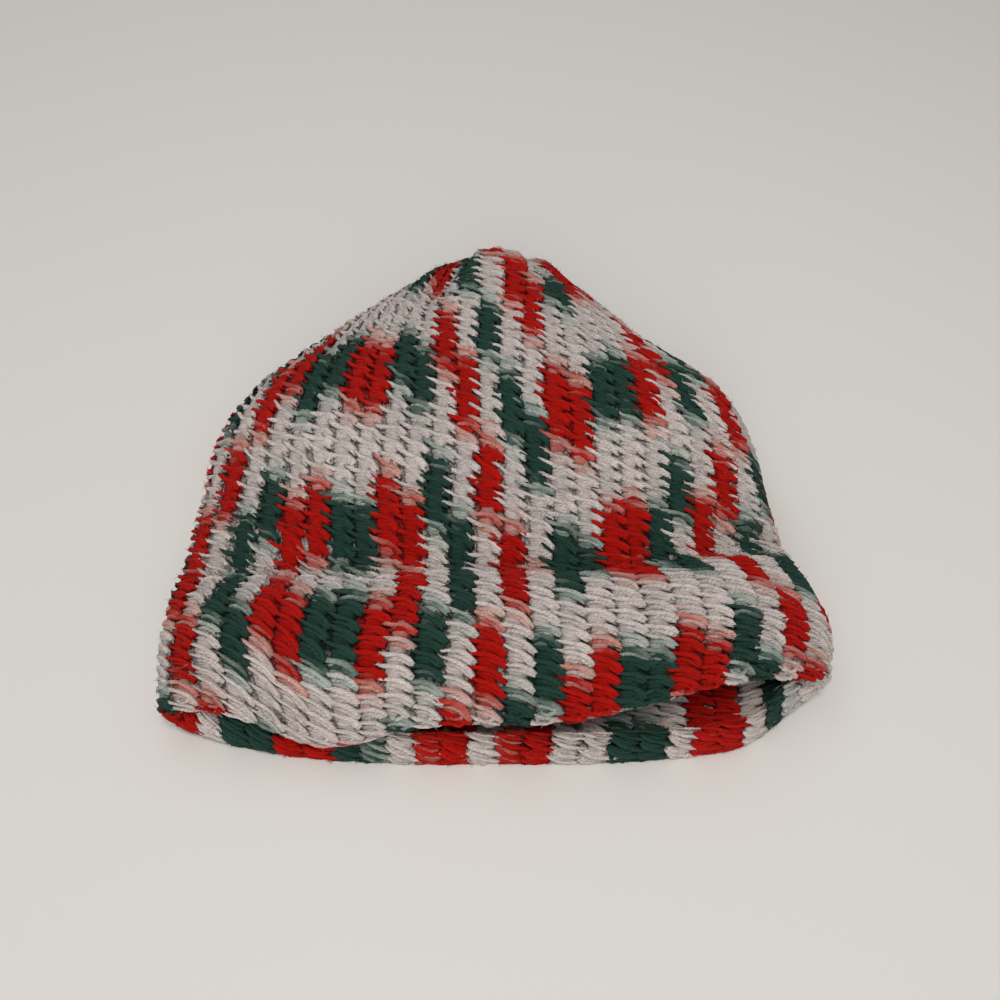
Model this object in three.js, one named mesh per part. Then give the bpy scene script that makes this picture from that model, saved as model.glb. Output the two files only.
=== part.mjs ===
// A crocheted beanie lying on its back layer, mouth towards -Y and gathered crown towards +Y.
// It is one piece of fabric: a tube of upright ribs, drawn together at the crown end.
// Millimetres, +Z up, the surface it lies on is z = 0.
import * as THREE from "three";

// Driving dimensions
const wall = 4; // thickness of the worsted fabric
const ribCount = 52; // crochet rows around the hat, each one a rib from rim to crown
const ribShift = 0.1; // the first rib stands this share of a rib left of the top middle
const ribHeight = 0.7; // how far a rib's ridge and valley stand off the mean surface
const scallop = 2.2; // how far every second rib's turn stands out at the rim
const upperBow = 7.5; // how far the middle of the upper rim comes forward of its ends
const lowerBow = 13.5; // the same for the lower rim, which lies ahead of the upper one
const rimDip = { x: -62, reach: 24, bow: 7 }; // where the upper rim sags forward
const rightTurn = { back: 12, upperFrom: 0.1, lowerFrom: 0.72 }; // how the right end lies back
const gatherDimple = 2.5; // how deep the drawn-in middle of the crown lies
const upperRoundness = 2.15; // exponent of the domed upper half of a section
const underRoundness = 4.2; // exponent of the flattened lower half of a section

// The hat's sections from rim to gather. along: fraction of the fabric's length. side: station of
// the side fold. left and right: half widths. top, middle and under: heights of the upper layer,
// the side fold and the underside, which is pressed flat wherever it would pass the surface.
const sections = table(
  ["along", "side", "left", "right", "top", "middle", "under"],
  [
    [0.0, -103, 119.5, 124, 26, 18, -1],
    [0.08, -84, 122.5, 127, 37, 19, -1],
    [0.16, -62, 122, 121, 39, 19, -1],
    [0.24, -40, 120, 115, 38, 18, -1],
    [0.32, -17, 118.5, 112, 42, 18, -1],
    [0.42, 12, 117, 110, 46, 19, -1],
    [0.52, 40, 106, 101, 47, 20, -1],
    [0.62, 66, 82, 73, 46, 20, -1],
    [0.72, 88, 59, 54, 44, 21, -1],
    [0.81, 103, 42, 41, 42, 22, 0],
    [0.89, 114, 34, 35, 40, 22, 2],
    [0.95, 120, 27, 31, 38, 22, 6],
    [1.0, 123.5, 14, 22, 31, 22, 14],
  ],
);

// Gathers that take up the fabric towards the crown. around: place as a share of a turn from the
// top middle, right is positive. width: share of a turn. start: where it begins along the fabric.
const pleats = table(
  ["around", "depth", "width", "start"],
  [
    [-0.45, 6, 0.024, 0.6],
    [-0.37, 6, 0.024, 0.55],
    [-0.295, 7, 0.024, 0.6],
    [-0.215, 6, 0.024, 0.66],
    [-0.11, 11, 0.036, 0.5],
    [-0.01, 2, 0.018, 0.8],
    [0.055, 2.5, 0.018, 0.8],
    [0.12, 9, 0.024, 0.6],
    [0.21, 6, 0.024, 0.64],
    [0.29, 7, 0.024, 0.6],
    [0.37, 7, 0.024, 0.55],
    [0.445, 7, 0.024, 0.6],
  ],
);
const pleatRun = 0.35; // share of the fabric's length over which a pleat reaches its depth
const pleatRoom = 0.36; // a pleat reaches at most this share of the way to the section's middle
const pleatSpread = 0.5; // how much wider a pleat is at the gather, as a share of its width

// Places where the upper layer stands higher or lower than its sections say.
const humps = table(
  ["x", "y", "reachX", "reachY", "rise"],
  [
    [88, -95, 38, 32, 12],
    [-64, -112, 28, 24, -11],
    [-112, -104, 24, 30, 8],
  ],
);

// The old fold line across the upper layer, which bends towards the crown at its right end.
const crease = { y: -50, bend: 12, bendFrom: 62, bendTo: 100, width: 11, depth: 9 };

// The ribs in the middle of the crown keep their pitch while the others crowd into the pleats.
const crownEase = { share: 0.5, width: 0.1, from: 0.45, to: 0.85 };

const stations = 24; // steps from rim to gather
const hollowStations = 21; // the hollow ends here, where the gathers bunch into a solid tuft
const profileSamples = 480;

function table(columns, rows) {
  return rows.map((row) => Object.fromEntries(columns.map((name, i) => [name, row[i]])));
}

function smoothstep(from, to, value) {
  return THREE.MathUtils.smoothstep(value, from, to);
}

// A column of the sections table as a smooth curve through its rows.
function sectionValue(column, along) {
  const last = sections.length - 1;
  const slopeBetween = (i) =>
    (sections[i + 1][column] - sections[i][column]) / (sections[i + 1].along - sections[i].along);
  const slopeAt = (i) => {
    if (i === 0) return slopeBetween(0);
    if (i === last) return slopeBetween(last - 1);
    const before = sections[i].along - sections[i - 1].along;
    const after = sections[i + 1].along - sections[i].along;
    return (slopeBetween(i) * before + slopeBetween(i - 1) * after) / (before + after);
  };
  let i = 0;
  while (i < last - 1 && along > sections[i + 1].along) i += 1;
  const step = sections[i + 1].along - sections[i].along;
  const s = (along - sections[i].along) / step;
  const from = sections[i][column] * (1 + 2 * s) * (1 - s) ** 2;
  const to = sections[i + 1][column] * s ** 2 * (3 - 2 * s);
  const bend = slopeAt(i) * s * (1 - s) ** 2 - slopeAt(i + 1) * s ** 2 * (1 - s);
  return from + to + bend * step;
}

// One point of the smooth section: a superellipse, domed above and flattened below.
// inset moves it inwards, which gives the inner face of the fabric.
function sectionPoint(along, turn, inset) {
  const across = Math.sin(turn);
  const up = Math.cos(turn);
  const power = up > 0 ? upperRoundness : underRoundness;
  const scale = (Math.abs(across) ** power + Math.abs(up) ** power) ** (-1 / power);
  const shareX = across * scale;
  const shareZ = up * scale;
  const upper = Math.max(shareZ, 0);
  const lower = Math.max(-shareZ, 0);
  const middle = sectionValue("middle", along);
  const under = sectionValue("under", along);
  const floor = inset > 0 ? Math.max(under, 0) + inset : under;
  const x = shareX * (sectionValue(across > 0 ? "right" : "left", along) - inset);
  let z = middle + upper * (sectionValue("top", along) - inset - middle) - lower * (middle - floor);
  const sag = rimDip.bow * upper * Math.exp(-(((x - rimDip.x) / rimDip.reach) ** 2));
  const bow = upperBow * upper + lowerBow * Math.min(lower * 1.5, 1) + sag;
  const turnFrom = up > 0 ? rightTurn.upperFrom : rightTurn.lowerFrom;
  const turned = rightTurn.back * smoothstep(turnFrom, 1, shareX);
  const forward = bow * (1 - Math.abs(shareX) ** 3) - turned;
  const y = sectionValue("side", along) - forward * (1 - smoothstep(0, 0.5, along));
  for (const hump of humps) {
    const away = ((x - hump.x) / hump.reachX) ** 2 + ((y - hump.y) / hump.reachY) ** 2;
    z += upper * hump.rise * Math.exp(-away);
  }
  const creaseY = crease.y + crease.bend * smoothstep(crease.bendFrom, crease.bendTo, x);
  z -= Math.min(upper * 1.6, 1) * crease.depth * Math.exp(-(((y - creaseY) / crease.width) ** 2));
  return new THREE.Vector3(x, y, z);
}

// Unit direction out of a closed ring at point i, in the plane across the hat.
function outward(ring, i) {
  const before = ring[(i + ring.length - 1) % ring.length];
  const after = ring[(i + 1) % ring.length];
  return new THREE.Vector3(before.z - after.z, 0, after.x - before.x).normalize();
}

// Length of a closed ring up to each of its points, and all of it in the last entry.
function lengthsAlong(ring) {
  const lengths = [0];
  ring.forEach((point, i) => lengths.push(lengths[i] + point.distanceTo(ring[(i + 1) % ring.length])));
  return lengths;
}

// The smooth section with its pleats folded in.
function pleatedRing(along, inset) {
  const smooth = Array.from({ length: profileSamples }, (_, i) =>
    sectionPoint(along, (i / profileSamples) * 2 * Math.PI, inset),
  );
  const lengths = lengthsAlong(smooth);
  const height = sectionValue("top", along) - sectionValue("under", along);
  const reach = Math.min(sectionValue("left", along), sectionValue("right", along), height / 2) - inset;
  const spread = 1 + pleatSpread * smoothstep(0.7, 1, along);
  return smooth.map((point, i) => {
    const around = lengths[i] / lengths[profileSamples];
    let depth = 0;
    for (const pleat of pleats) {
      const away = THREE.MathUtils.euclideanModulo(around - pleat.around + 0.5, 1) - 0.5;
      const grown = smoothstep(pleat.start, Math.min(pleat.start + pleatRun, 1), along);
      depth += pleat.depth * grown * Math.exp(-((away / pleat.width / spread) ** 2));
    }
    const inwards = -Math.min(depth, pleatRoom * reach);
    return point.clone().addScaledVector(outward(smooth, i), inwards);
  });
}

// count points around the hat at one station, spaced as the ribs are, from the first rib to the right.
function ringPoints(along, inset, count) {
  const fine = pleatedRing(along, inset);
  const lengths = lengthsAlong(fine);
  const ease = crownEase.share * smoothstep(crownEase.from, crownEase.to, along);
  const crowding = [0];
  fine.forEach((_, i) => {
    const around = lengths[i] / lengths[profileSamples];
    const away = Math.min(around, 1 - around);
    const weight = 1 - ease * Math.exp(-((away / crownEase.width) ** 2));
    crowding.push(crowding[i] + weight * (lengths[i + 1] - lengths[i]));
  });
  const points = [];
  for (let k = 0; k < count; k += 1) {
    const wanted = ((k / count + 1 - ribShift / ribCount) % 1) * crowding[profileSamples];
    let i = 0;
    while (crowding[i + 1] < wanted) i += 1;
    const part = (wanted - crowding[i]) / (crowding[i + 1] - crowding[i]);
    points.push(fine[i].clone().lerp(fine[(i + 1) % profileSamples], part));
  }
  return points;
}

// The outer face of one station: two points to a rib, with ridges, rim scallops and a flat underside.
function outerRing(along) {
  const points = ringPoints(along, 0, 2 * ribCount);
  const atRim = 1 - smoothstep(0, 0.04, along);
  const rib = ribHeight * (1 - smoothstep(0.6, 0.95, along));
  return points.map((point, i) => {
    const ridge = i % 2 === 0 ? rib : -rib;
    const moved = point.clone().addScaledVector(outward(points, i), ridge);
    moved.y -= (scallop / 2) * atRim * (1 + Math.cos((i * Math.PI) / 2));
    moved.z = Math.max(moved.z, 0);
    return moved;
  });
}

function innerRing(along) {
  const points = ringPoints(along, wall, ribCount);
  const drawnBack = 1.2 * wall * smoothstep(0.6, 1, along);
  points.forEach((point) => {
    point.y -= drawnBack;
  });
  return points;
}

// The rounded edge between the two faces at the rim.
function rimRing() {
  const outer = outerRing(0);
  const inner = ringPoints(0, wall, 2 * ribCount);
  return outer.map((point, i) => {
    const edge = point.clone().lerp(inner[i], 0.5);
    edge.y -= wall * 0.3;
    return edge;
  });
}

// Joins two rings whose points run the same way. The second may have half as many points.
function joinRings(faces, first, firstCount, second, secondCount) {
  const ratio = firstCount / secondCount;
  for (let k = 0; k < secondCount; k += 1) {
    const next = (k + 1) % secondCount;
    const firstNext = first + ((ratio * (k + 1)) % firstCount);
    faces.push(second + k, second + next, firstNext);
    for (let m = 0; m < ratio; m += 1) {
      faces.push(second + k, first + ((ratio * k + m + 1) % firstCount), first + ratio * k + m);
    }
  }
}

function crochetShell() {
  const rings = [];
  for (let k = stations; k >= 0; k -= 1) rings.push(outerRing(k / stations));
  rings.push(rimRing());
  for (let k = 0; k <= hollowStations; k += 1) rings.push(innerRing(k / stations));
  const points = [];
  const starts = rings.map((ring) => points.push(...ring) - ring.length);
  const faces = [];
  rings.slice(1).forEach((ring, i) => {
    joinRings(faces, starts[i], rings[i].length, starts[i + 1], ring.length);
  });

  const middleOf = (ring) =>
    ring.reduce((sum, point) => sum.add(point), new THREE.Vector3()).divideScalar(ring.length);
  const outerPole = middleOf(rings[0]);
  outerPole.y -= gatherDimple;
  const innerPole = middleOf(rings.at(-1));
  points.push(outerPole, innerPole);
  const outerCount = rings[0].length;
  for (let k = 0; k < outerCount; k += 1) faces.push(points.length - 2, k, (k + 1) % outerCount);
  const innerStart = starts.at(-1);
  for (let k = 0; k < ribCount; k += 1) {
    faces.push(points.length - 1, innerStart + ((k + 1) % ribCount), innerStart + k);
  }

  const geometry = new THREE.BufferGeometry().setFromPoints(points);
  geometry.setIndex(faces);
  geometry.computeVertexNormals();
  return geometry;
}

const beanie = new THREE.Group();
const yarn = new THREE.MeshStandardMaterial({ color: 0xcfc4bf, roughness: 0.95, metalness: 0 });
const shell = new THREE.Mesh(crochetShell(), yarn);
shell.name = "crochet_shell";
const box = new THREE.Box3().setFromObject(shell);
const middle = box.getCenter(new THREE.Vector3());
shell.position.set(-middle.x, -middle.y, -box.min.z); // origin under the middle of the hat
beanie.add(shell);

export default beanie;
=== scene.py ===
import math

import bmesh
import bpy
import numpy as np
from mathutils import Matrix, Vector


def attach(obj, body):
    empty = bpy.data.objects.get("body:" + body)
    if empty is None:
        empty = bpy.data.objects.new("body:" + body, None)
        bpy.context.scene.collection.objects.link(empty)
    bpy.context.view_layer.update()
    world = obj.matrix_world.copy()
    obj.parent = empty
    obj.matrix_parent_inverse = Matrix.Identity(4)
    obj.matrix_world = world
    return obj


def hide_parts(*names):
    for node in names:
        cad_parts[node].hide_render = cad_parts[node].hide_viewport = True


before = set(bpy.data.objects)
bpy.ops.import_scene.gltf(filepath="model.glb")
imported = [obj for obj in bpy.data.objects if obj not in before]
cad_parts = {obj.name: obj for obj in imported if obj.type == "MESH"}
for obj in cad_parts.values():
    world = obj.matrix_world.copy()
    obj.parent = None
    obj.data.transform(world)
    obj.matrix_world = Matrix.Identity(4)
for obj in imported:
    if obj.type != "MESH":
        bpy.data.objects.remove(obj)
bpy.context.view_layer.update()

print("frame loaded")

# The form of the hat in millimetres, with shares of its length from the rim, 0, to the gather, 1
hatShape = {
    "sectionPoints": 480,  # points round one cross-section
    "wall": 4.0,  # thickness of the crochet
    "rows": 52,  # crochet rows around the hat
    "rowShift": 0.1,  # the first row lies this share of a row left of the top middle
    "stitches": 45,  # stitches of a row, from rim to gather
    "upperBow": 7.5,  # forward bow of the upper rim
    "lowerBow": 13.5,  # forward bow of the lower rim
    "dipX": -62.0,  # where the upper rim sags forward
    "dipReach": 24.0,
    "dipBow": 7.0,
    "bowFull": 1.5,  # how soon the lower rim has its whole bow
    "bowReach": 0.5,
    "turnBack": 12.0,  # how far the right end of the rim lies back
    "upperTurnFrom": 0.1,
    "lowerTurnFrom": 0.72,
    "upperRoundness": 2.15,
    "underRoundness": 4.2,
    "pleatRun": 0.35,
    "pleatRoom": 0.36,
    "pleatSpread": 0.5,
    "spreadFrom": 0.7,
    "crownEase": 0.78,  # rows are drawn together at the top middle towards the crown
    "crownEaseWidth": 0.15,
    "easeFrom": 0.45,
    "easeTo": 0.85,
    "innerBack": 1.2,  # the inner face ends this many wall thicknesses before the gather
    "innerBackFrom": 0.6,
    "moved": (-2.21, -2.35),  # from these measures' origin to the frame's
}

sections = {  # one entry for each station from the rim to the gather; stitches from the rim, the rest mm
    "along": (0.0, 0.08, 0.16, 0.24, 0.32, 0.42, 0.52, 0.62, 0.72, 0.81, 0.89, 0.95, 1.0),
    "stitch": (0, 4.9, 9.7, 15, 20.5, 25.4, 30, 34.4, 37.8, 40.4, 42.4, 43.8, 45),
    "side": (-103, -84, -62, -40, -17, 12, 40, 66, 88, 103, 114, 120, 123.5),
    "left": (119.5, 122.5, 122, 120, 118.5, 117, 106, 82, 59, 42, 34, 27, 14),
    "right": (124, 127, 121, 115, 112, 110, 101, 73, 54, 41, 35, 31, 22),
    "top": (26, 37, 39, 38, 42, 46, 47, 46, 44, 42, 40, 38, 31),
    "middle": (18, 19, 19, 18, 18, 19, 20, 20, 21, 22, 22, 22, 22),
    "under": (-1, -1, -1, -1, -1, -1, -1, -1, -1, 0, 2, 6, 14),
}

pleats = {  # gathers towards the crown: place round the hat, depth, width, start along it
    "around": (-0.45, -0.37, -0.295, -0.215, -0.11, -0.01, 0.055, 0.12, 0.21, 0.29, 0.37, 0.445),
    "depth": (6, 6, 7, 6, 11, 2, 2.5, 9, 6, 7, 7, 7),
    "width": (0.024, 0.024, 0.024, 0.024, 0.036, 0.018, 0.018, 0.024, 0.024, 0.024, 0.024, 0.024),
    "start": (0.6, 0.55, 0.6, 0.66, 0.5, 0.8, 0.8, 0.6, 0.64, 0.6, 0.55, 0.6),
}

humps = ((88, -95, 38, 32, 12), (-64, -112, 28, 24, -11), (-112, -104, 24, 30, 8))  # x, y, reaches, rise
crease = {"y": -50, "bend": 12, "bendFrom": 62, "bendTo": 100, "width": 11, "depth": 9, "full": 1.6}


def smoothStep(low, high, value):
    s = np.clip((np.asarray(value, float) - low) / (high - low), 0, 1)
    return s * s * (3 - 2 * s)


def sectionValue(column, along):
    x = np.array(sections["along"])
    y = np.array(sections[column], float)
    step = np.diff(x)
    slope = np.diff(y) / step
    inner = (slope[1:] * step[:-1] + slope[:-1] * step[1:]) / (step[1:] + step[:-1])
    bend = np.concatenate([slope[:1], inner, slope[-1:]])
    i = int(np.clip(np.searchsorted(x, along, side="left") - 1, 0, len(x) - 2))
    s = (along - x[i]) / step[i]
    start = y[i] * (1 + 2 * s) * (1 - s) ** 2
    end = y[i + 1] * s**2 * (3 - 2 * s)
    return start + end + (bend[i] * s * (1 - s) ** 2 - bend[i + 1] * s**2 * (1 - s)) * step[i]


def smoothSection(along, inset):
    turn = np.arange(hatShape["sectionPoints"]) / hatShape["sectionPoints"] * 2 * math.pi
    across, up = np.sin(turn), np.cos(turn)
    power = np.where(up > 0, hatShape["upperRoundness"], hatShape["underRoundness"])
    scale = (np.abs(across) ** power + np.abs(up) ** power) ** (-1 / power)
    shareX, shareZ = across * scale, up * scale
    upper, lower = np.maximum(shareZ, 0), np.maximum(-shareZ, 0)
    middle = sectionValue("middle", along)
    under = sectionValue("under", along)
    floor = max(under, 0) + inset if inset > 0 else under
    halfWidth = np.where(across > 0, sectionValue("right", along), sectionValue("left", along)) - inset
    x = shareX * halfWidth
    z = middle + upper * (sectionValue("top", along) - inset - middle) - lower * (middle - floor)
    sag = hatShape["dipBow"] * upper * np.exp(-(((x - hatShape["dipX"]) / hatShape["dipReach"]) ** 2))
    lowerBow = hatShape["lowerBow"] * np.minimum(lower * hatShape["bowFull"], 1)
    bow = hatShape["upperBow"] * upper + lowerBow + sag
    turnFrom = np.where(up > 0, hatShape["upperTurnFrom"], hatShape["lowerTurnFrom"])
    turned = hatShape["turnBack"] * smoothStep(0, 1, (shareX - turnFrom) / (1 - turnFrom))
    forward = bow * (1 - np.abs(shareX) ** 3) - turned
    y = sectionValue("side", along) - forward * (1 - smoothStep(0, hatShape["bowReach"], along))
    for humpX, humpY, reachX, reachY, rise in humps:
        z = z + upper * rise * np.exp(-(((x - humpX) / reachX) ** 2) - ((y - humpY) / reachY) ** 2)
    creaseY = crease["y"] + crease["bend"] * smoothStep(crease["bendFrom"], crease["bendTo"], x)
    sunk = crease["depth"] * np.exp(-(((y - creaseY) / crease["width"]) ** 2))
    z = z - np.minimum(upper * crease["full"], 1) * sunk
    return np.stack([x, y, z], 1)


def ringLengths(ring):
    gaps = np.linalg.norm(np.roll(ring, -1, 0) - ring, axis=1)
    return np.concatenate([[0], np.cumsum(gaps)])


def pleatedSection(along, inset):
    ring = smoothSection(along, inset)
    lengths = ringLengths(ring)
    around = lengths[:-1] / lengths[-1]
    height = sectionValue("top", along) - sectionValue("under", along)
    reach = min(sectionValue("left", along), sectionValue("right", along), height / 2) - inset
    spread = 1 + hatShape["pleatSpread"] * smoothStep(hatShape["spreadFrom"], 1, along)
    depth = np.zeros(len(ring))
    for place, deep, width, start in zip(*pleats.values()):
        away = (around - place + 0.5) % 1 - 0.5
        grown = smoothStep(start, min(start + hatShape["pleatRun"], 1), along)
        depth += deep * grown * np.exp(-((away / width / spread) ** 2))
    before, after = np.roll(ring, 1, 0), np.roll(ring, -1, 0)
    out = np.stack([before[:, 2] - after[:, 2], np.zeros(len(ring)), after[:, 0] - before[:, 0]], 1)
    out /= np.linalg.norm(out, axis=1, keepdims=True)
    return ring - out * np.minimum(depth, hatShape["pleatRoom"] * reach)[:, None]


def rowRing(along, inset, count):
    ring = pleatedSection(along, inset)
    lengths = ringLengths(ring)
    around = lengths[:-1] / lengths[-1]
    away = np.minimum(around, 1 - around)
    ease = hatShape["crownEase"] * smoothStep(hatShape["easeFrom"], hatShape["easeTo"], along)
    weight = 1 - ease * np.exp(-((away / hatShape["crownEaseWidth"]) ** 2))
    crowding = np.concatenate([[0], np.cumsum(weight * np.diff(lengths))])
    place = (np.arange(count) / count - hatShape["rowShift"] / hatShape["rows"]) % 1
    closed = np.vstack([ring, ring[:1]])
    points = np.stack([np.interp(place * crowding[-1], crowding, closed[:, k]) for k in range(3)], 1)
    if inset > 0:
        points[:, 1] -= hatShape["innerBack"] * inset * smoothStep(hatShape["innerBackFrom"], 1, along)
    return points


# A face of the fabric as a fine net of points, counted in rows around and in stitches from the rim
netShape = {
    "perRow": 4,
    "perStitch": 2,
    "crownRings": 6,  # rings that close the gathered end
    "crownLeft": 0.1,  # share of the last ring left open
    "crownBulge": 2.0,  # mm
    "crownDimple": 3.0,
    "floor": 0.9,  # below this height the yarn is pressed flat, mm
    "press": 1.8,
    "rimRoll": 2.2,  # how far the rolled edge of the rim stands forward, and half its thickness, mm
    "rimHalf": 4.0,
    "rimArc": 0.85,  # fabric in the roll for each unit of half thickness and of turn
    "rimTurn": 1.45,  # half turns of the roll
    "lipHalf": 2.8,  # how much thicker the lower lip is, and how far its roll leans back, mm
    "lipBack": 4.5,
    "lipFrom": 11.5,  # rows from the top middle between which the lower lip begins
    "lipTo": 15.0,
}


def fabricNet(inset):
    count = hatShape["rows"] * netShape["perRow"]
    places = np.arange(hatShape["stitches"] * netShape["perStitch"] + 1) / netShape["perStitch"]
    alongs = np.interp(places, sections["stitch"], sections["along"])
    rings = [rowRing(float(along), inset, count) for along in alongs]
    last, middle = rings[-1], rings[-1].mean(0)
    for i in range(netShape["crownRings"]):
        share = (i + 1) / netShape["crownRings"]
        ring = middle + (last - middle) * (1 - (1 - netShape["crownLeft"]) * share)
        ring[:, 1] += netShape["crownBulge"] * math.sin(share * math.pi) - netShape["crownDimple"] * share**2
        rings.append(ring)
    points = np.array(rings)
    alongRow = np.gradient(points, axis=0)
    acrossRow = np.roll(points, -1, 1) - np.roll(points, 1, 1)
    normals = np.cross(acrossRow, alongRow)
    normals /= np.maximum(np.linalg.norm(normals, axis=2, keepdims=True), 1e-9)
    pitch = np.linalg.norm(acrossRow, axis=2) / 2 * netShape["perRow"]
    return {"points": points, "normals": normals, "pitch": pitch}


def blended(values, row, stitch):
    across = np.mod(row * netShape["perRow"], values.shape[1])
    along = np.clip(stitch * netShape["perStitch"], 0, values.shape[0] - 1.001)
    i, j = np.floor(along).astype(int), np.floor(across).astype(int) % values.shape[1]
    s, t = along - i, across - np.floor(across)
    nextJ = (j + 1) % values.shape[1]
    if values.ndim == 3:
        s, t = s[..., None], t[..., None]
    low = values[i, j] * (1 - t) + values[i, nextJ] * t
    high = values[i + 1, j] * (1 - t) + values[i + 1, nextJ] * t
    return low * (1 - s) + high * s


# A place on a net, or past its rim on the rolled edge, in metres
def onFabric(net, row, stitch, height):
    point = blended(net["points"], row, stitch)
    normal = blended(net["normals"], row, stitch)
    edge = blended(net["points"][:2][::-1] - net["points"][:2], row, np.zeros_like(row))
    edgeLength = np.linalg.norm(edge, axis=-1, keepdims=True)
    forward = -edge / edgeLength
    beyond = -np.minimum(stitch, 0)[..., None] * edgeLength * netShape["perStitch"]
    rows = hatShape["rows"]
    fromTop = np.abs((row + rows / 2) % rows - rows / 2)[..., None]
    lip = smoothStep(netShape["lipFrom"], netShape["lipTo"], fromTop)
    half = netShape["rimHalf"] + netShape["lipHalf"] * lip
    rolled = np.minimum(beyond / half / netShape["rimArc"], netShape["rimTurn"] * math.pi)
    leaned = netShape["lipBack"] * lip * (1 - np.cos(rolled)) / 2
    point = point + forward * (netShape["rimRoll"] * np.sin(rolled) - leaned)
    point = point - normal * half * (1 - np.cos(rolled))
    normal = normal * np.cos(rolled) + forward * np.sin(rolled)
    point = point + normal * height[..., None]
    low, press = netShape["floor"], netShape["press"]
    pressed = low * np.exp(np.minimum(point[..., 2] - low, 0) / press)
    point[..., 2] = np.where(point[..., 2] < low, pressed, point[..., 2])
    point[..., :2] += hatShape["moved"]
    return point / 1000


outerNet = fabricNet(0.0)
innerNet = fabricNet(hatShape["wall"])
print("fabric nets", outerNet["points"].shape)

# Places on the dyed yarn. Rows run up and down in turn, so one repeat gives the whole pattern
dyeRepeat = {
    "length": 25.45,  # stitches in one repeat of the dye
    "perRow": 56.7,  # stitches of yarn from one turn to the next, those of the cuff and behind it too
    "start": -3.9,  # place of the middle of the first red stretch
    "cuff": 12.6,  # the turned-up cuff ends this many stitches above the rim
    "underFrom": 12.5,  # rows further than this from the top middle are those of the underside
    "underAlike": 1.5,  # so many stitches past the rim the colours of the underside stay the same
}

dyeLead = {  # how far the yarn of a row runs ahead of the even repeat above the cuff, in stitches
    "row": (-13, -11, -9, 1, 5, 8, 12),
    "lead": (-2.0, 0.5, 2.0, 1.6, -1.8, -5.2, -5.0),
}

underDye = {  # rows of the underside, and the place of their yarn in the repeat where they cross the rim
    "row": (13.5, 15.5, 17.5, 19.5, 21.5, 23.5, 25.5, 27.5, 29.5, 31.5, 33.5, 35.5, 37.5, 39.5),
    "place": (0.72, 0.42, 0.88, 1.14, 1.5, 1.28, 1.04, 0.87, 1.15, 1.46, 1.0, 0.5, 0.87, 1.0),
}


def isOnCuff(stitch):
    return stitch < dyeRepeat["cuff"] - 0.5


def yarnPlace(row, stitch, onCuff):
    rows = hatShape["rows"]
    centred = (row + rows / 2) % rows - rows / 2
    lead = np.interp(centred, dyeLead["row"], dyeLead["lead"])
    worked = np.where(onCuff, -stitch, stitch + lead)
    up = centred * dyeRepeat["perRow"] + worked
    down = centred * dyeRepeat["perRow"] + dyeRepeat["perRow"] - 1 - worked
    place = (np.where(centred % 2 == 0, up, down) - dyeRepeat["start"]) / dyeRepeat["length"]
    pairMiddle = np.floor((row + 1) / 2) * 2 - 0.5  # rows joined by a turn share their colours at the rim
    under = np.interp(pairMiddle, underDye["row"], underDye["place"])
    fromRim = np.where(onCuff, np.minimum(-stitch, dyeRepeat["underAlike"]), stitch)
    under = under + np.where(centred % 2 == 0, fromRim, -fromRim) / dyeRepeat["length"]
    return np.where(np.abs(centred) > dyeRepeat["underFrom"], under, place)


# One strand of yarn is a row of rings along a smooth path, bridged and capped
def smoothPath(knots, count):
    knots = [Vector(knot) for knot in knots]
    knots = [knots[0] * 2 - knots[1]] + knots + [knots[-1] * 2 - knots[-2]]
    points = []
    for i in range(count):
        t = i / (count - 1) * (len(knots) - 3)
        k = min(int(t), len(knots) - 4)
        t -= k
        a, b, c, d = knots[k : k + 4]
        point = b * 2 + (c - a) * t + (a * 2 - b * 5 + c * 4 - d) * t**2 + (b * 3 - a - c * 3 + d) * t**3
        points.append(point / 2)
    return points


def addStrand(bm, strand, count, sides):
    points = smoothPath([knot[:3] for knot in strand], count)
    places = np.linspace(0, len(strand) - 1, count)
    radii = np.interp(places, range(len(strand)), [knot[3] for knot in strand])
    alongLayer = bm.verts.layers.float["alongYarn"]
    aroundLayer = bm.verts.layers.float["aroundYarn"]
    facing = (points[1] - points[0]).to_track_quat("Z", "X")
    length = 0.0
    previousEdges = None
    for i, point in enumerate(points):
        ahead = points[min(i + 1, count - 1)] - points[max(i - 1, 0)]
        facing = (facing @ Vector((0, 0, 1))).rotation_difference(ahead) @ facing
        place = Matrix.Translation(point) @ facing.to_matrix().to_4x4()
        ring = bmesh.ops.create_circle(
            bm, cap_ends=i in (0, count - 1), segments=sides, radius=radii[i], matrix=place
        )["verts"]
        length += (point - points[i - 1]).length if i else 0.0
        for k, vert in enumerate(ring):
            vert[alongLayer] = length
            vert[aroundLayer] = k / sides
        ringEdges = list({edge for vert in ring for edge in vert.link_edges})
        if previousEdges:
            bmesh.ops.bridge_loops(bm, edges=previousEdges + ringEdges)
        previousEdges = ringEdges


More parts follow.
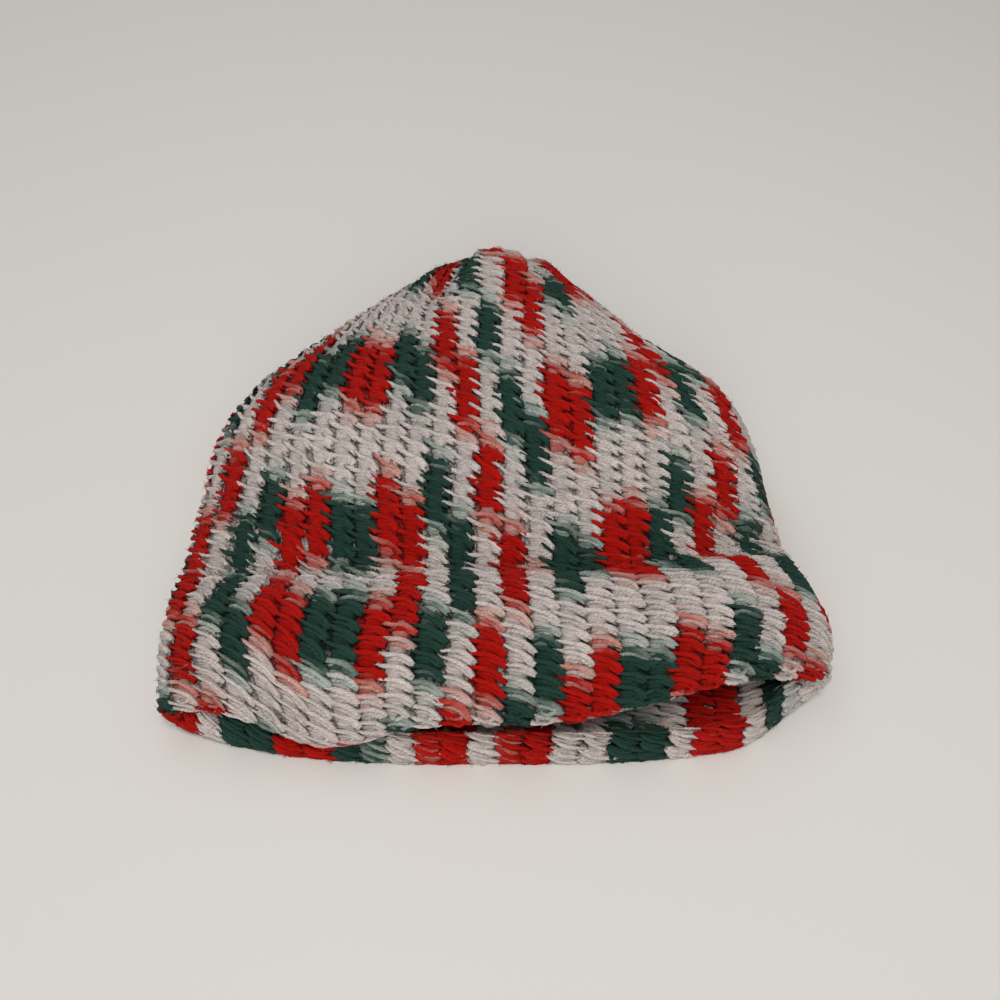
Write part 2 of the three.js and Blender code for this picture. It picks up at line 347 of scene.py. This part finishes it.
def strandsToArrays(build, pitch):
    bm = bmesh.new()
    bm.verts.layers.float.new("alongYarn")
    bm.verts.layers.float.new("aroundYarn")
    build(bm)
    bmesh.ops.recalc_face_normals(bm, faces=bm.faces)
    bm.verts.index_update()
    along = np.array([vert[bm.verts.layers.float["alongYarn"]] for vert in bm.verts])
    around = np.array([vert[bm.verts.layers.float["aroundYarn"]] for vert in bm.verts])
    points = np.array([vert.co[:] for vert in bm.verts])
    faces = [[vert.index for vert in face.verts] for face in bm.faces]
    bm.free()
    loops = np.concatenate(faces)
    uv = np.stack([along[loops], around[loops]], 1)
    starts = np.cumsum([0] + [len(face) for face in faces[:-1]])
    for first, face in zip(starts, faces):
        seam = uv[first : first + len(face), 1]
        if len(face) == 4 and seam.max() - seam.min() > 0.5:
            seam[seam < 0.5] += 1
    return {"points": points / np.array(pitch), "along": along, "loops": loops, "uv": uv, "starts": starts}


def newObject(name, data):
    made = bpy.data.objects.new(name, data)
    bpy.context.scene.collection.objects.link(made)
    return made


def joinCopies(name, unit, points, attributes):
    copies, size = points.shape[0], points.shape[1]
    mesh = bpy.data.meshes.new(name)
    mesh.vertices.add(copies * size)
    mesh.vertices.foreach_set("co", points.reshape(-1).astype(np.float32))
    loops = (unit["loops"][None, :] + np.arange(copies)[:, None] * size).reshape(-1)
    mesh.loops.add(len(loops))
    mesh.loops.foreach_set("vertex_index", loops.astype(np.int32))
    starts = (unit["starts"][None, :] + np.arange(copies)[:, None] * len(unit["loops"])).reshape(-1)
    mesh.polygons.add(len(starts))
    mesh.polygons.foreach_set("loop_start", starts.astype(np.int32))
    mesh.polygons.foreach_set("use_smooth", np.ones(len(starts), bool))
    mesh.update(calc_edges=True)
    uv = mesh.uv_layers.new(name="yarn")
    uv.data.foreach_set("uv", np.tile(unit["uv"], (copies, 1)).reshape(-1).astype(np.float32))
    for label, values in attributes.items():
        layer = mesh.attributes.new(label, "FLOAT", "POINT")
        layer.data.foreach_set("value", values.reshape(-1).astype(np.float32))
    return newObject(name, mesh)


def dressPiece(piece, finish):
    piece.data.materials.append(finish)
    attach(piece, "root")
    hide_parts("crochet_shell")


# One half double crochet stitch: a thin spur to the left runs over the spine into a fat doubled finger to the
# right, above a soft flat middle that closes the fabric. Knots are in mm on a stitch of the usual pitch:
# across the row, up the row, out of the fabric, radius
stitchYarn = {
    "rowPitch": 9.6,
    "stitchPitch": 5.7,
    "rings": 13,  # rings of a strand, and points of a ring
    "sides": 6,
    "plainRings": 10,
    "plainSides": 5,
    "middleRings": 4,
    "middleSides": 8,
    "finger": (
        (-8.4, 5.5, 0.4, 0.45), (-6.8, 4.2, 1.1, 0.68), (-4.9, 2.9, 1.2, 0.92), (-2.2, 1.8, 0.3, 1.05),
        (0.6, 1.1, 0.1, 1.12), (3.1, -0.8, 1.0, 1.18), (5.1, -3.6, 0.9, 0.92), (3.7, -2.7, 0.8, 1.08),
        (1.4, -0.6, 0.1, 1.05), (-1.3, 0.2, -0.1, 1.0), (-3.6, 0.8, -0.3, 0.85), (-5.0, 1.2, -1.5, 0.6),
    ),
    "middle": (
        (-0.6, 4.4, 0, 2.6), (-1.0, 2.2, 0, 3.5), (-0.6, 0, 0, 3.8),
        (-0.9, -2.2, 0, 3.5), (-0.7, -4.2, 0, 2.6),
    ),
    "middleFlat": 0.33,  # thickness of the soft middle of a stitch, as a share of its width
    "middleDeep": 0.6,  # how far it lies under the strand, mm
    "cuffFinger": (
        (-7.2, 5.0, 0.2, 0.45), (-5.5, 4.1, 0.8, 0.75), (-3.1, 3.1, 0.9, 1.0), (-0.4, 2.2, 0.7, 1.12),
        (2.2, 0.6, 0.8, 1.18), (4.2, -1.7, 0.9, 1.1), (5.4, -4.2, 0.5, 0.78), (3.7, -3.0, 0.7, 1.0),
        (1.6, -0.9, 0.4, 1.05), (-1.0, 0.6, 0.3, 1.05), (-3.4, 0.8, -0.1, 0.9), (-4.8, 1.0, -1.2, 0.6),
    ),
    "sink": 0.7,  # the strands' middle lines lie this far under the fabric's face, mm
    "sinkInside": -0.7,
    "uneven": 0.17,  # how rough the strands' surface is, mm
    "lowest": -1.5,  # painted shade and light: the yarn's colour is darkest here, deep in the fabric, and lightest at the highest, mm
    "highest": 2.0,
    "thinnest": 0.4,  # least and greatest size of a stitch where the rows draw together or spread
    "thickest": 1.05,
    "seed": 11,
}

# How unevenly the stitches are worked
unevenWork = {
    "turn": 5.0,  # degrees
    "size": 0.05,  # share of a stitch
    "row": 0.03,  # place across the row, in rows
    "stitch": 0.07,  # place along the row, in stitches
    "lift": 0.16,  # mm
    "droop": 0.55,  # up or down at the end of the finger, mm
    "droopReach": 5,  # mm from the spine to that end
    "spur": 0.8,
    "spurReach": 6,
    "rowStart": 0.4,  # rows start up to this many stitches apart
    "wander": 0.09,  # how far a row wanders from its even place, in rows
    "wanderAlong": 0.37,
    "wanderAcross": 0.6,
}

# The cuff rises a little towards its top edge, and the body is sunk just above it, in mm and stitches
cuffStep = {"rise": 0.5, "from": 2.0, "to": 9.0, "sunkFrom": 17.0, "sunkTo": 13.5, "sunk": 0.3}


def softMiddle(bm):
    addStrand(bm, stitchYarn["middle"], stitchYarn["middleRings"], stitchYarn["middleSides"])
    bmesh.ops.scale(bm, vec=(1, 1, stitchYarn["middleFlat"]), verts=bm.verts)
    bmesh.ops.translate(bm, vec=(0, 0, -stitchYarn["middleDeep"]), verts=bm.verts)


def bodyStrands(bm):
    softMiddle(bm)
    addStrand(bm, stitchYarn["finger"], stitchYarn["rings"], stitchYarn["sides"])


def cuffStrands(bm):
    softMiddle(bm)
    addStrand(bm, stitchYarn["cuffFinger"], stitchYarn["rings"], stitchYarn["sides"])


def plainStrands(bm):
    softMiddle(bm)
    addStrand(bm, stitchYarn["cuffFinger"], stitchYarn["plainRings"], stitchYarn["plainSides"])


def cuffHeight(stitch, onCuff):
    rise = cuffStep["rise"] * smoothStep(cuffStep["from"], cuffStep["to"], stitch)
    sunk = cuffStep["sunk"] * (1 - smoothStep(cuffStep["sunkTo"], cuffStep["sunkFrom"], stitch))
    return np.where(onCuff, rise, -sunk)


def placedStitches(name, unit, net, rows, stitches, inside, seed):
    draw = np.random.default_rng(seed)
    row, stitch = [grid.reshape(-1).astype(float) for grid in np.meshgrid(rows, stitches, indexing="ij")]
    count = len(row)
    onCuff = isOnCuff(stitch) & (not inside)
    work = unevenWork
    turn = draw.normal(0, math.radians(work["turn"]), count)
    grow = draw.normal(1, work["size"], count)
    shiftRow, shiftStitch = draw.normal(0, work["row"], count), draw.normal(0, work["stitch"], count)
    lift = draw.normal(0, work["lift"], count) + (0 if inside else cuffHeight(stitch, onCuff))
    droop, spur = draw.normal(0, work["droop"], count), draw.normal(0, work["spur"], count)
    rowDraw = np.random.default_rng(stitchYarn["seed"])
    rowStart = rowDraw.uniform(-work["rowStart"], work["rowStart"], hatShape["rows"])
    shiftStitch = shiftStitch + rowStart[row.astype(int)]
    shiftRow = shiftRow + work["wander"] * np.sin(stitch * work["wanderAlong"] + row * work["wanderAcross"])
    pitch = blended(net["pitch"], row, stitch + 0.5)
    thick = np.clip(pitch / stitchYarn["rowPitch"], stitchYarn["thinnest"], stitchYarn["thickest"])
    along = unit["points"][:, 0] * stitchYarn["rowPitch"]
    up = unit["points"][:, 1] * stitchYarn["stitchPitch"]
    hung = droop[:, None] * np.clip(along / work["droopReach"], 0, 1) ** 2
    up = up[None] + hung + spur[:, None] * np.clip(-along / work["spurReach"], 0, 1) ** 2
    across = along[None] * np.cos(turn)[:, None] - up * np.sin(turn)[:, None]
    upward = along[None] * np.sin(turn)[:, None] + up * np.cos(turn)[:, None]
    across = across * grow[:, None] / stitchYarn["rowPitch"]
    upward = upward * grow[:, None] / stitchYarn["stitchPitch"]
    sink = stitchYarn["sinkInside" if inside else "sink"]
    height = (unit["points"][None, :, 2] - sink + lift[:, None]) * thick[:, None]
    side = -1 if inside else 1
    middle = (row + shiftRow)[:, None] + side * across
    points = onFabric(net, middle, (stitch + 0.5 + shiftStitch)[:, None] + upward, side * height)
    points = points + draw.normal(0, stitchYarn["uneven"] / 1000, points.shape) * thick[:, None, None]
    share = unit["along"] / unit["along"].max() - 0.5
    place = yarnPlace(row, stitch, onCuff)[:, None] + share[None] / dyeRepeat["length"]
    shade = np.repeat(draw.uniform(0, 1, count)[:, None], len(share), 1)
    # Painted shade and light: each point's height in its stitch, from which yarn deep in the fabric is
    # painted darker and raised yarn lighter
    lowest, highest = stitchYarn["lowest"], stitchYarn["highest"]
    lifted = np.clip((unit["points"][:, 2] - lowest) / (highest - lowest), 0, 1)
    lifted = np.repeat(lifted[None], count, 0)
    return joinCopies(name, unit, points, {"dyePlace": place, "strandShade": shade, "paintedShadeLift": lifted})


# Finishes
yarnFinish = {
    "red": (0.58, 0.006, 0.002, 1),
    "pink": (0.75, 0.40, 0.34, 1),
    "white": (0.80, 0.72, 0.695, 1),
    "mint": (0.50, 0.58, 0.53, 1),
    "green": (0.022, 0.072, 0.055, 1),
    "redHalf": 0.095,  # half lengths of the stretches, as shares of the repeat
    "greenHalf": 0.085,
    "fade": 0.04,
    "blotchScale": 420,  # where the dye took unevenly
    "blotchDetail": 2,
    "shadeShare": 0.08,  # how much stitches differ from each other
    "unshadedLift": 0.78,  # painted light and shade: yarn higher than this share of its thickness is painted lighter, lower yarn painted darker
    "specular": 0.1,
    "roughness": 0.92,
    "sheen": 0.04,
    "sheenRoughness": 0.5,
    "twistBump": 0.8,
    "twistHeight": 0.0009,
}

# The plies of the yarn and the fibres on them
yarnPlies = {
    "plies": 4.0,
    "lay": 6.5,  # length of yarn in one turn of the plies, mm
    "streakAlong": 0.9,  # how closely the streaks of fibres lie along and around the yarn
    "streakAround": 11.0,
    "streakShift": 60.0,
    "streakDetail": 3,
    "fibreScale": 1900,
    "fibreDetail": 3,
    "plyRound": 0.6,
    "plyHeight": 0.6,
    "fibreHeight": 2.2,
}


def newGroup(name, inputs, outputs):
    group = bpy.data.node_groups.new(name, "ShaderNodeTree")
    for label, kind, value in inputs:
        socket = group.interface.new_socket(label, in_out="INPUT", socket_type=kind)
        if value is not None:
            socket.default_value = value
    for label, kind in outputs:
        group.interface.new_socket(label, in_out="OUTPUT", socket_type=kind)
    return group, group.nodes.new("NodeGroupInput"), group.nodes.new("NodeGroupOutput")


def mathNode(tree, operation, first, second=None):
    node = tree.nodes.new("ShaderNodeMath")
    node.operation = operation
    for socket, value in zip(node.inputs, (first, second)):
        if isinstance(value, (int, float)):
            socket.default_value = value
        elif value is not None:
            tree.links.new(value, socket)
    return node.outputs[0]


def noiseNode(tree, place, scale, detail):
    noise = tree.nodes.new("ShaderNodeTexNoise")
    noise.inputs["Scale"].default_value = scale
    noise.inputs["Detail"].default_value = detail
    tree.links.new(place, noise.inputs["Vector"])
    return noise.outputs["Fac"]


def attributeNode(tree, name):
    node = tree.nodes.new("ShaderNodeAttribute")
    node.attribute_name = name
    return node.outputs["Fac"]


def groupNode(tree, group):
    node = tree.nodes.new("ShaderNodeGroup")
    node.node_tree = group
    return node


def yarnDyeGroup():
    group, given, result = newGroup(
        "yarnDye",
        [("Place", "NodeSocketFloat", 0.0), ("Position", "NodeSocketVector", None),
         ("Shade", "NodeSocketFloat", 0.5), ("Streak", "NodeSocketFloat", 0.5),
         ("Lift", "NodeSocketFloat", yarnFinish["unshadedLift"]), ("Blotch", "NodeSocketFloat", 0.02),
         ("Unevenness", "NodeSocketFloat", 1.7), ("Painted hollow shade", "NodeSocketFloat", 0.55)],
        [("Colour", "NodeSocketColor")],
    )
    nodes, links = group.nodes, group.links
    finish = yarnFinish
    blotch = noiseNode(group, given.outputs["Position"], finish["blotchScale"], finish["blotchDetail"])
    scaled = mathNode(group, "MULTIPLY", mathNode(group, "SUBTRACT", blotch, 0.5), given.outputs["Blotch"])
    moved = mathNode(group, "ADD", given.outputs["Place"], scaled)
    around = mathNode(group, "FRACT", mathNode(group, "ADD", moved, 0.5))
    ramp = nodes.new("ShaderNodeValToRGB")
    links.new(around, ramp.inputs["Fac"])
    redHalf, greenHalf, fade = finish["redHalf"], finish["greenHalf"], finish["fade"]
    stops = [(greenHalf, "green"), (greenHalf + fade, "mint"), (greenHalf + 2 * fade, "white"),
             (0.5 - redHalf - 2 * fade, "white"), (0.5 - redHalf - fade, "pink"), (0.5 - redHalf, "red")]
    stops += [(1 - place, colour) for place, colour in reversed(stops)]
    for end in ramp.color_ramp.elements:
        end.color = finish["green"]
    for place, colour in stops:
        stop = ramp.color_ramp.elements.new(place)
        stop.color = finish[colour]
    shade = mathNode(group, "SUBTRACT", given.outputs["Shade"], 0.5)
    uneven = mathNode(group, "ADD", mathNode(group, "SUBTRACT", given.outputs["Streak"], 0.5),
                      mathNode(group, "MULTIPLY", shade, finish["shadeShare"]))
    # Painted shade and light: yarn below the even height is darkened and higher yarn lightened, as the shade
    # of the hollows would do
    aboveEven = mathNode(group, "SUBTRACT", given.outputs["Lift"], finish["unshadedLift"])
    paintedDepthShade = mathNode(group, "MULTIPLY", aboveEven, given.outputs["Painted hollow shade"])
    value = mathNode(group, "ADD", mathNode(group, "MULTIPLY", uneven, given.outputs["Unevenness"]), 1.0)
    value = mathNode(group, "ADD", value, paintedDepthShade)
    tone = nodes.new("ShaderNodeHueSaturation")
    links.new(value, tone.inputs["Value"])
    links.new(ramp.outputs["Color"], tone.inputs["Color"])
    links.new(tone.outputs["Color"], result.inputs["Colour"])
    return group


def yarnTwistGroup():
    group, given, result = newGroup(
        "yarnTwist",
        [("Yarn", "NodeSocketVector", None), ("Position", "NodeSocketVector", None),
         ("Shade", "NodeSocketFloat", 0.5), ("Plies", "NodeSocketFloat", yarnPlies["plies"]),
         ("Lay", "NodeSocketFloat", yarnPlies["lay"])],
        [("Height", "NodeSocketFloat"), ("Streak", "NodeSocketFloat")],
    )
    nodes, links = group.nodes, group.links
    parts = nodes.new("ShaderNodeSeparateXYZ")
    links.new(given.outputs["Yarn"], parts.inputs[0])
    around = mathNode(group, "MULTIPLY", parts.outputs["Y"], given.outputs["Plies"])
    along = mathNode(group, "DIVIDE", mathNode(group, "MULTIPLY", parts.outputs["X"], given.outputs["Plies"]),
                     given.outputs["Lay"])
    phase = mathNode(group, "MULTIPLY", mathNode(group, "ADD", around, along), math.pi)
    plies = mathNode(group, "ABSOLUTE", mathNode(group, "SINE", phase))
    twistedAround = mathNode(group, "ADD", parts.outputs["Y"],
                             mathNode(group, "DIVIDE", parts.outputs["X"], given.outputs["Lay"]))
    streakPlace = nodes.new("ShaderNodeCombineXYZ")
    streakAlong = mathNode(group, "MULTIPLY", parts.outputs["X"], yarnPlies["streakAlong"])
    streakAround = mathNode(group, "MULTIPLY", twistedAround, yarnPlies["streakAround"])
    streakShift = mathNode(group, "MULTIPLY", given.outputs["Shade"], yarnPlies["streakShift"])
    links.new(streakAlong, streakPlace.inputs[0])
    links.new(streakAround, streakPlace.inputs[1])
    links.new(streakShift, streakPlace.inputs[2])
    streaks = noiseNode(group, streakPlace.outputs[0], 1.0, yarnPlies["streakDetail"])
    fibres = noiseNode(group, given.outputs["Position"], yarnPlies["fibreScale"], yarnPlies["fibreDetail"])
    mixed = mathNode(group, "ADD", mathNode(group, "MULTIPLY", streaks, 0.5),
                     mathNode(group, "MULTIPLY", fibres, 0.5))
    rounded = mathNode(group, "POWER", plies, yarnPlies["plyRound"])
    height = mathNode(group, "ADD", mathNode(group, "MULTIPLY", rounded, yarnPlies["plyHeight"]),
                      mathNode(group, "MULTIPLY", mixed, yarnPlies["fibreHeight"]))
    links.new(height, result.inputs["Height"])
    links.new(mixed, result.inputs["Streak"])
    return group


def yarnMaterial(name, dye, twist):
    material = bpy.data.materials.new(name)
    material.use_nodes = True
    tree = material.node_tree
    nodes, links = tree.nodes, tree.links
    shader = nodes["Principled BSDF"]
    shader.inputs["Roughness"].default_value = yarnFinish["roughness"]
    shader.inputs["Sheen Weight"].default_value = yarnFinish["sheen"]
    shader.inputs["Sheen Roughness"].default_value = yarnFinish["sheenRoughness"]
    shader.inputs["Specular IOR Level"].default_value = yarnFinish["specular"]
    shade = attributeNode(tree, "strandShade")
    coords = nodes.new("ShaderNodeTexCoord")
    uv = nodes.new("ShaderNodeUVMap")
    uv.uv_map = "yarn"
    dyed = groupNode(tree, dye)
    links.new(attributeNode(tree, "dyePlace"), dyed.inputs["Place"])
    links.new(shade, dyed.inputs["Shade"])
    links.new(attributeNode(tree, "paintedShadeLift"), dyed.inputs["Lift"])
    links.new(coords.outputs["Object"], dyed.inputs["Position"])
    links.new(dyed.outputs["Colour"], shader.inputs["Base Color"])
    twisted = groupNode(tree, twist)
    links.new(uv.outputs["UV"], twisted.inputs["Yarn"])
    links.new(coords.outputs["Object"], twisted.inputs["Position"])
    links.new(shade, twisted.inputs["Shade"])
    links.new(twisted.outputs["Streak"], dyed.inputs["Streak"])
    bump = nodes.new("ShaderNodeBump")
    bump.inputs["Strength"].default_value = yarnFinish["twistBump"]
    bump.inputs["Distance"].default_value = yarnFinish["twistHeight"]
    links.new(twisted.outputs["Height"], bump.inputs["Height"])
    links.new(bump.outputs["Normal"], shader.inputs["Normal"])
    return material


yarnDye = yarnDyeGroup()
yarnTwist = yarnTwistGroup()
yarn = yarnMaterial("worstedYarn", yarnDye, yarnTwist)
print("finishes made")

# The outer face in four parts of 13 rows, each with its cuff
outerRows = {
    "rolled": -6,  # stitches from the rim; those past it are rolled under
    "cuffTop": 12,
    "cuffSeed": 10,
}
rowGroups = {
    "right": range(0, 13),
    "under_right": range(13, 26),
    "under_left": range(26, 39),
    "left": range(39, 52),
}
pitches = (stitchYarn["rowPitch"], stitchYarn["stitchPitch"], 1)
bodyUnit = strandsToArrays(bodyStrands, pitches)
cuffUnit = strandsToArrays(cuffStrands, pitches)
cuffStitches = range(outerRows["rolled"], outerRows["cuffTop"])
bodyStitches = range(outerRows["cuffTop"], hatShape["stitches"] + 1)
outerPieces = []
for seedStep, (name, rows) in enumerate(rowGroups.items()):
    body = placedStitches("crochet_rows_" + name, bodyUnit, outerNet, list(rows), bodyStitches, False,
                          stitchYarn["seed"] + seedStep)
    cuff = placedStitches("cuff_rows_" + name, cuffUnit, outerNet, list(rows), cuffStitches, False,
                          stitchYarn["seed"] + outerRows["cuffSeed"] + seedStep)
    for piece in (body, cuff):
        dressPiece(piece, yarn)
        outerPieces.append(piece)
        print(piece.name, len(piece.data.polygons))

# The inner face, as deep as it shows in the mouth
liningYarn = {"depth": 16, "seed": 31}
plainUnit = strandsToArrays(plainStrands, pitches)
lining = placedStitches("crochet_rows_inside", plainUnit, innerNet, range(hatShape["rows"]),
                        range(liningYarn["depth"]), True, liningYarn["seed"])
dressPiece(lining, yarn)
print("inside", len(lining.data.polygons))

# Turning loops along the top edge of the cuff, one over each row
edgeYarn = {
    "turn": ((-5.0, -2.2, -1.4, 0.8), (-4.3, -0.3, 0.0, 1.1), (-1.9, 0.9, 0.7, 1.25), (1.2, 0.9, 0.7, 1.25),
             (3.9, -0.3, 0.1, 1.1), (4.8, -2.2, -1.2, 0.8)),
    "rings": 8,
    "atStitch": 11.7,
    "seed": 51,
}


def turnStrands(bm):
    addStrand(bm, edgeYarn["turn"], edgeYarn["rings"], stitchYarn["sides"])


turnUnit = strandsToArrays(turnStrands, pitches)
cuffEdge = placedStitches("cuff_edge", turnUnit, outerNet, range(hatShape["rows"]), [edgeYarn["atStitch"]],
                          False, edgeYarn["seed"])
dressPiece(cuffEdge, yarn)
print("cuff edge", len(cuffEdge.data.polygons))

# Small curls of yarn standing out where the fabric folds over at the rim
curlYarn = {
    "curl": ((-2.4, 1.6, -0.6, 0.7), (-2.6, -0.9, 0.5, 0.82), (-0.8, -2.3, 1.0, 0.88), (1.5, -1.6, 1.0, 0.88),
             (2.2, 0.5, 0.7, 0.82), (0.6, 1.9, -0.3, 0.7)),
    "rings": 10,
    "atStitches": [-1.3, -0.2],
    "seed": 61,
}


def curlStrands(bm):
    addStrand(bm, curlYarn["curl"], curlYarn["rings"], stitchYarn["sides"])


curls = placedStitches("rim_curls", strandsToArrays(curlStrands, pitches), outerNet, range(hatShape["rows"]),
                       curlYarn["atStitches"], False, curlYarn["seed"])
dressPiece(curls, yarn)
print("rim curls", len(curls.data.polygons))

# Loose fibres that make the yarn soft, each one a tiny closed spike
yarnFuzz = {
    "count": 48000,
    "shortest": 0.8,  # mm
    "longest": 2.6,
    "width": 0.12,
    "lean": 1.2,
    "leanSpread": 0.6,
    "lowestTip": 0.3,
    # height share for the painted shade and light; the loose fibres stand high, so they are painted a little
    # lighter
    "lift": 0.8,
    "seed": 71,
}


def looseFibres():
    draw = np.random.default_rng(yarnFuzz["seed"])
    bases, directions, places, shades = [], [], [], []
    total = sum(len(piece.data.vertices) for piece in outerPieces)
    for piece in outerPieces:
        size = len(piece.data.vertices)
        points, normals, place, shade = np.empty(size * 3), np.empty(size * 3), np.empty(size), np.empty(size)
        piece.data.vertices.foreach_get("co", points)
        piece.data.vertex_normals.foreach_get("vector", normals)
        piece.data.attributes["dyePlace"].data.foreach_get("value", place)
        piece.data.attributes["strandShade"].data.foreach_get("value", shade)
        chosen = draw.integers(0, size, yarnFuzz["count"] * size // total)
        bases.append(points.reshape(-1, 3)[chosen])
        directions.append(normals.reshape(-1, 3)[chosen])
        places.append(place[chosen])
        shades.append(shade[chosen])
    base, direction = np.concatenate(bases), np.concatenate(directions)
    direction = direction + yarnFuzz["lean"] * draw.normal(0, yarnFuzz["leanSpread"], direction.shape)
    direction /= np.linalg.norm(direction, axis=1, keepdims=True)
    sideways = np.cross(direction, draw.normal(0, 1, direction.shape))
    sideways /= np.linalg.norm(sideways, axis=1, keepdims=True)
    around = [sideways * math.cos(turn) + np.cross(direction, sideways) * math.sin(turn)
              for turn in (0, math.tau / 3, 2 * math.tau / 3)]
    length = draw.uniform(yarnFuzz["shortest"], yarnFuzz["longest"], (len(base), 1)) / 1000
    feet = [base + foot * yarnFuzz["width"] / 1000 for foot in around]
    tip = base + direction * length
    tip[:, 2] = np.maximum(tip[:, 2], yarnFuzz["lowestTip"] / 1000)
    loops = np.array([0, 2, 1, 0, 1, 3, 1, 2, 3, 2, 0, 3])
    spike = {"loops": loops, "uv": np.zeros((len(loops), 2)), "starts": np.arange(4) * 3}
    values = {"dyePlace": np.repeat(np.concatenate(places)[:, None], 4, 1),
              "strandShade": np.repeat(np.concatenate(shades)[:, None], 4, 1),
              "paintedShadeLift": np.full((len(base), 4), yarnFuzz["lift"])}
    return joinCopies("yarn_fuzz", spike, np.stack(feet + [tip], 1), values)


fuzz = looseFibres()
dressPiece(fuzz, yarn)
print("loose fibres", len(fuzz.data.polygons))

# The middle of the fabric, seen only between the strands, dyed face by face as they are
coreFabric = {
    "outerDepth": 1.7,  # under each face of the fabric, mm
    "innerDepth": 1.4,
    "perRow": 3,
    "startAt": 0.3,  # stitches from the rim
    "closeAt": 47.0,
    "innerCloseAt": 40.0,
    "lift": -0.35,  # painted shade: lies in the hollows, so its colour is painted darker
    "innerPlace": 0.25,  # undyed
    "mottleScale": 900,
    "mottleDetail": 2,
}


def coreShell():
    bm = bmesh.new()
    placeLayer = bm.faces.layers.float.new("dyePlace")
    rowCount = hatShape["rows"] * coreFabric["perRow"]
    outerPlaces = np.arange(coreFabric["startAt"], coreFabric["closeAt"])
    innerPlaces = np.arange(coreFabric["startAt"], coreFabric["innerCloseAt"])
    rings = [(outerNet, place, -coreFabric["outerDepth"]) for place in outerPlaces[::-1]]
    rings += [(innerNet, place, coreFabric["innerDepth"]) for place in innerPlaces]
    row = np.arange(rowCount) / coreFabric["perRow"]
    nearRow = np.floor(row + 0.5 / coreFabric["perRow"] + 0.5) % hatShape["rows"]
    previous = None
    for i, (net, place, height) in enumerate(rings):
        points = onFabric(net, row, np.full(rowCount, place), np.full(rowCount, height))
        atEnd = i in (0, len(rings) - 1)
        ring = bmesh.ops.create_circle(bm, cap_ends=atEnd, segments=rowCount, radius=1)["verts"]
        for vert, point in zip(ring, points):
            vert.co = point
        if previous:
            stitch = np.full(rowCount, np.floor(min(place, rings[i - 1][1])))
            dyed = yarnPlace(nearRow, stitch, isOnCuff(stitch)) % 1
            if net is innerNet:
                dyed = np.full(rowCount, coreFabric["innerPlace"])
            for k in range(rowCount):
                after = (k + 1) % rowCount
                face = bm.faces.new((previous[k], previous[after], ring[after], ring[k]))
                face[placeLayer] = dyed[k]
        previous = ring
    bmesh.ops.recalc_face_normals(bm, faces=bm.faces)
    for face in bm.faces:
        face.smooth = True
        if len(face.verts) > 4:
            face[placeLayer] = coreFabric["innerPlace"]
    mesh = bpy.data.meshes.new("fabric_core")
    bm.to_mesh(mesh)
    bm.free()
    return newObject("fabric_core", mesh)


def shadedPackedYarn():
    material = bpy.data.materials.new("shadedPackedYarn")
    material.use_nodes = True
    tree = material.node_tree
    nodes, links = tree.nodes, tree.links
    coords = nodes.new("ShaderNodeTexCoord")
    mottle = noiseNode(tree, coords.outputs["Object"], coreFabric["mottleScale"], coreFabric["mottleDetail"])
    dyed = groupNode(tree, yarnDye)
    # Painted shade: the core's dyed colour is darkened for the shade between the strands
    dyed.inputs["Lift"].default_value = coreFabric["lift"]
    links.new(attributeNode(tree, "dyePlace"), dyed.inputs["Place"])
    links.new(coords.outputs["Object"], dyed.inputs["Position"])
    links.new(mottle, dyed.inputs["Streak"])
    links.new(dyed.outputs["Colour"], nodes["Principled BSDF"].inputs["Base Color"])
    nodes["Principled BSDF"].inputs["Roughness"].default_value = 1.0
    return material


core = coreShell()
dressPiece(core, shadedPackedYarn())
print("core", len(core.data.polygons))

# Floor, light and camera
studio = {
    "target": (0.0011, -0.0159, 0.020),
    "distance": 0.410,
    "elevation": 55.0,
    "lens": 36.0,
    "sensor": 36.0,
    "world": 0.27,
    "worldColour": (1, 0.98, 0.96, 1),
    "floorHalf": 3.0,
    "floorColour": (0.86, 0.85, 0.83, 1),
    "floorRoughness": 0.9,
    "lights": (  # name, place, size, power, colour
        ("keyLight", (0.05, -0.3, 1.15), 0.4, 4.9, (1.0, 0.95, 0.88)),
        ("fillLight", (-0.3, 0.45, 1.05), 0.9, 1.6, (0.93, 0.96, 1.0)),
        ("frontLight", (-0.12, -1.15, 0.62), 0.9, 3.4, (1.0, 0.97, 0.94)),
    ),
}


def floorPlane():
    bm = bmesh.new()
    bmesh.ops.create_grid(bm, x_segments=2, y_segments=2, size=studio["floorHalf"])
    mesh = bpy.data.meshes.new("floor")
    bm.to_mesh(mesh)
    bm.free()
    material = bpy.data.materials.new("paleFloor")
    material.use_nodes = True
    shader = material.node_tree.nodes["Principled BSDF"]
    shader.inputs["Base Color"].default_value = studio["floorColour"]
    shader.inputs["Roughness"].default_value = studio["floorRoughness"]
    mesh.materials.append(material)
    return newObject("floor", mesh)


def areaLight(name, place, size, power, colour):
    light = bpy.data.lights.new(name, "AREA")
    light.shape = "DISK"
    light.size = size
    light.energy = power
    light.color = colour
    lamp = newObject(name, light)
    lamp.location = place
    lamp.rotation_euler = (-Vector(place)).to_track_quat("-Z", "Y").to_euler()


floorPlane()
for lamp in studio["lights"]:
    areaLight(*lamp)

world = bpy.data.worlds.new("studio")
world.use_nodes = True
world.node_tree.nodes["Background"].inputs["Color"].default_value = studio["worldColour"]
world.node_tree.nodes["Background"].inputs["Strength"].default_value = studio["world"]
bpy.context.scene.world = world
bpy.context.scene.view_settings.view_transform = "Standard"

tilt = math.radians(studio["elevation"])
camera = newObject("camera", bpy.data.cameras.new("camera"))
camera.data.lens = studio["lens"]
camera.data.sensor_width = studio["sensor"]
camera.location = Vector(studio["target"]) + studio["distance"] * Vector((0, -math.cos(tilt), math.sin(tilt)))
camera.rotation_euler = (math.pi / 2 - tilt, 0, 0)
bpy.context.scene.camera = camera
print("studio ready")
